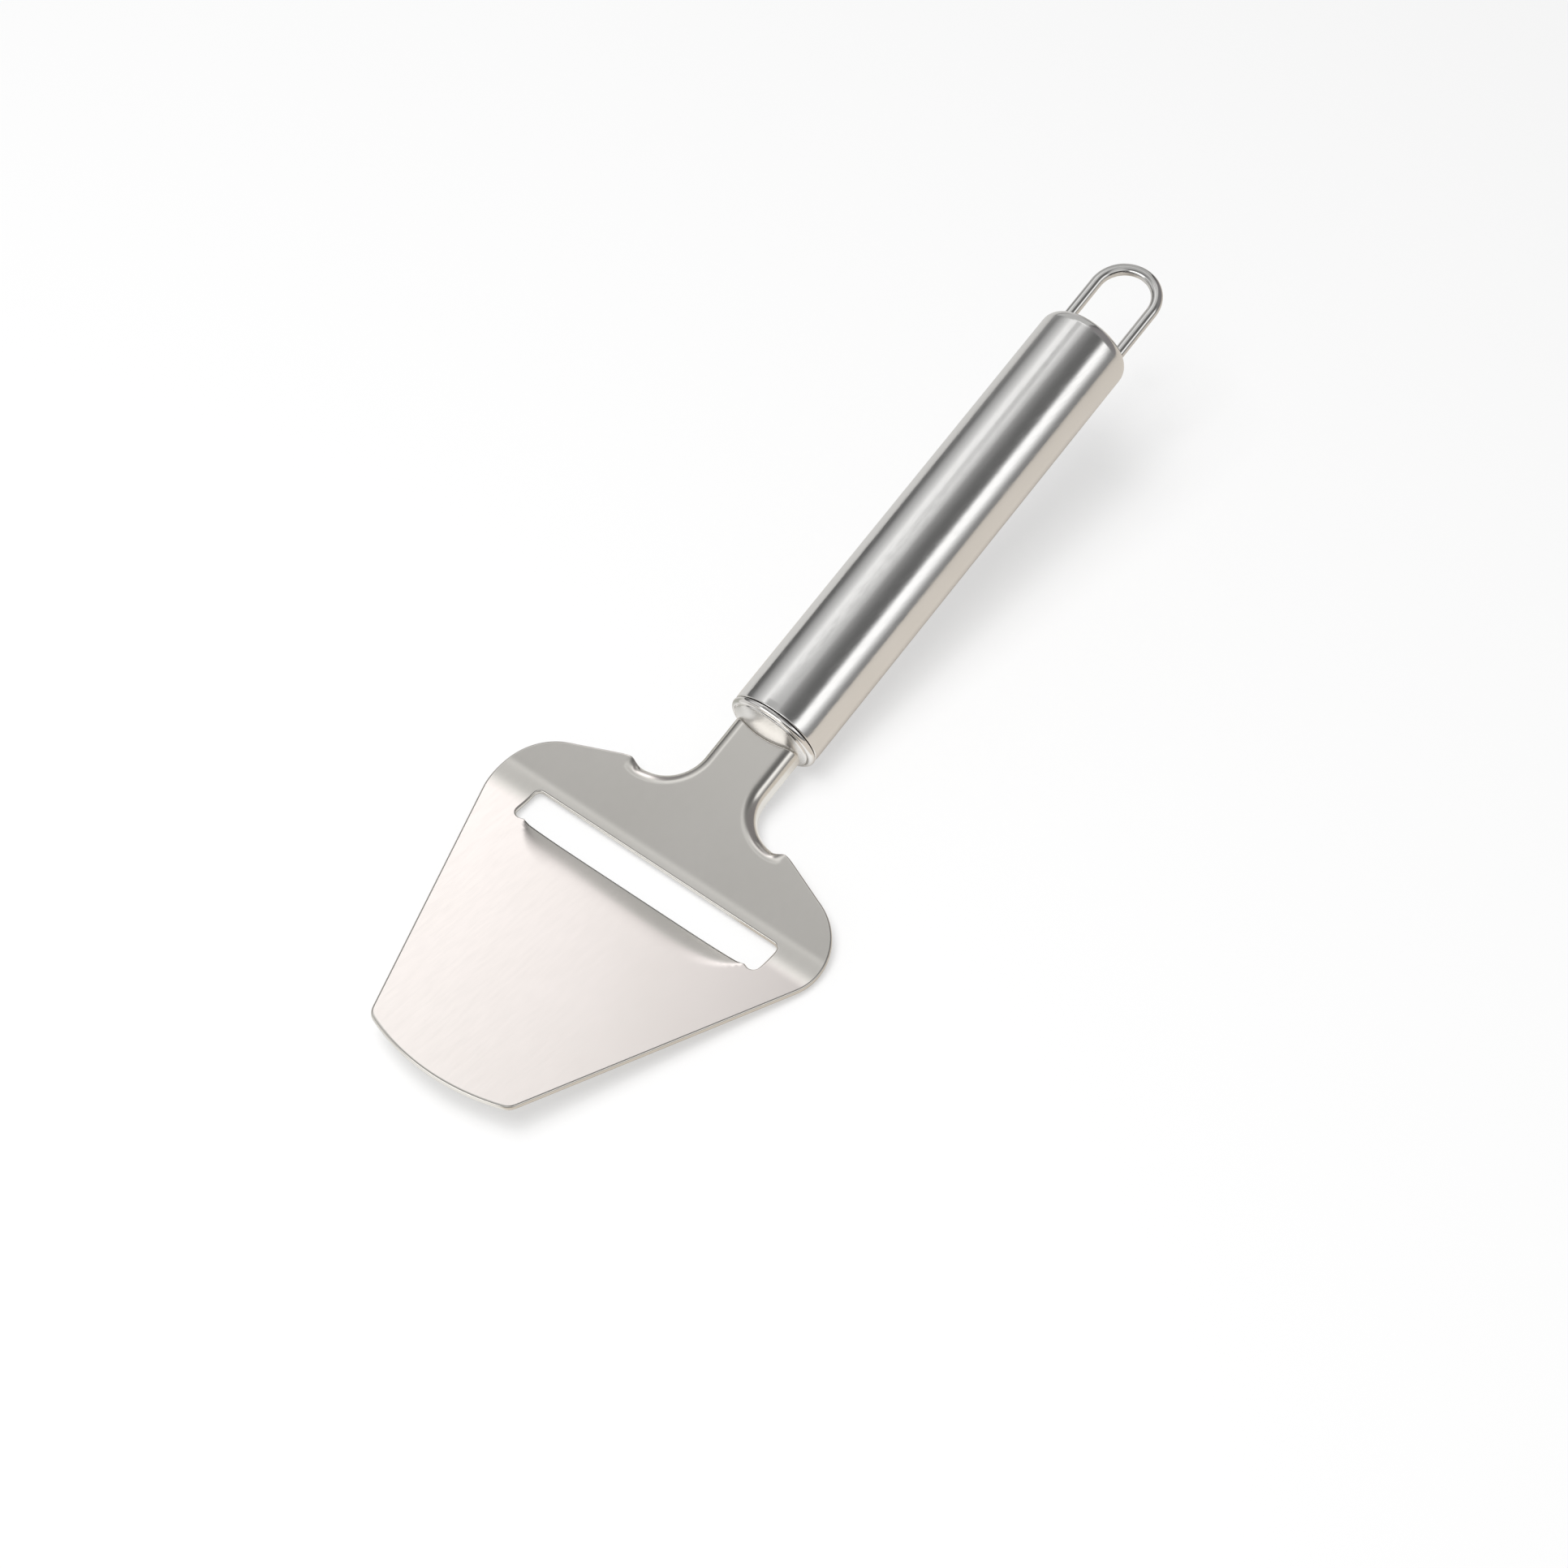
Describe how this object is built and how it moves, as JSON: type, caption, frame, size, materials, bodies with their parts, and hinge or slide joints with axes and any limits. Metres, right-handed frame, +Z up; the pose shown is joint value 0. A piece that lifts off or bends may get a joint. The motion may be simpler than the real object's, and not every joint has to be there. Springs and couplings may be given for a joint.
{
  "type": "cheese slicer",
  "caption": "Stainless steel cheese slicer: bent sheet blade with a cross slot and pressed cutting lip, round hollow handle closed at its rear end, with a domed front cap and a wire hanging loop.",
  "frame": {"origin": "on the table under the middle of the tool's length, half way between its sides", "axes": "+Y along the tool from blade tip to hanging loop, +Z up from the table it lies on, +X to the right when looking along +Y"},
  "size_m": [0.074, 0.2126, 0.0449],
  "materials": {
    "blade_steel": "satin polished sheet",
    "handle_steel": "polished, faintly brushed lengthwise",
    "cap_steel": "polished",
    "wire_steel": "bright drawn wire"
  },
  "bodies": {
    "root": {"blade": "blade_steel", "front_cap": "cap_steel", "handle_tube": "handle_steel", "hanging_loop": "wire_steel"}
  },
  "joints": []
}
